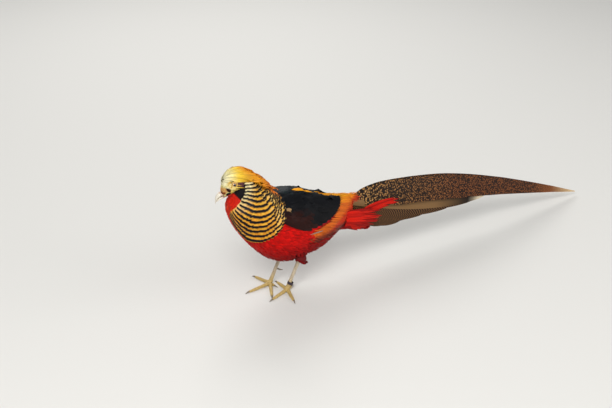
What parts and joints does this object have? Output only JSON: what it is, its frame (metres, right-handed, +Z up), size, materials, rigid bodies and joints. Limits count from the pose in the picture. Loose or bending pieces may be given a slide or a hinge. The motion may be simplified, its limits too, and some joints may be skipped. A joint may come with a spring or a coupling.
{
  "type": "golden pheasant",
  "caption": "Still, life-size standing golden pheasant cock with crest, barred cape, folded wings, long roof-shaped tail and separate feet, claws and leg ring.",
  "frame": {"origin": "on the floor, under the middle of the box round the bird from bill tip to tail tip", "axes": "+Z up; the head points towards -X and the tail towards +X; the bird's left side faces -Y"},
  "size_m": [0.8457, 0.1248, 0.2551],
  "materials": {
    "flesh_plumage": "matte",
    "face_plumage": "matte",
    "rump_plumage": "matte",
    "red_plumage": "matte",
    "gold_plumage": "satin",
    "cape_plumage": "satin",
    "mantle_plumage": "satin",
    "wing_plumage": "satin",
    "tail_plumage": "satin",
    "bill_horn": "satin",
    "leg_skin": "satin",
    "claw_horn": "satin",
    "eye": "gloss",
    "leg_band": "satin"
  },
  "bodies": {
    "root": {"torso": "flesh_plumage", "rump": "rump_plumage", "neck": "face_plumage", "head": "face_plumage", "bill_upper": "bill_horn", "bill_lower": "bill_horn", "crest": "gold_plumage", "mantle": "mantle_plumage", "lower_back": "gold_plumage", "tail": "tail_plumage", "undertail": "red_plumage", "leg_band": "leg_band", "eye_left": "eye", "cape_left": "cape_plumage", "wing_left": "wing_plumage", "coverts_left": "red_plumage", "thigh_left": "flesh_plumage", "shank_left": "leg_skin", "foot_left": "leg_skin", "spur_left": "claw_horn", "claw_left_inner": "claw_horn", "claw_left_middle": "claw_horn", "claw_left_outer": "claw_horn", "claw_left_hind": "claw_horn", "eye_right": "eye", "cape_right": "cape_plumage", "wing_right": "wing_plumage", "coverts_right": "red_plumage", "thigh_right": "flesh_plumage", "shank_right": "leg_skin", "foot_right": "leg_skin", "spur_right": "claw_horn", "claw_right_inner": "claw_horn", "claw_right_middle": "claw_horn", "claw_right_outer": "claw_horn", "claw_right_hind": "claw_horn"}
  },
  "joints": []
}
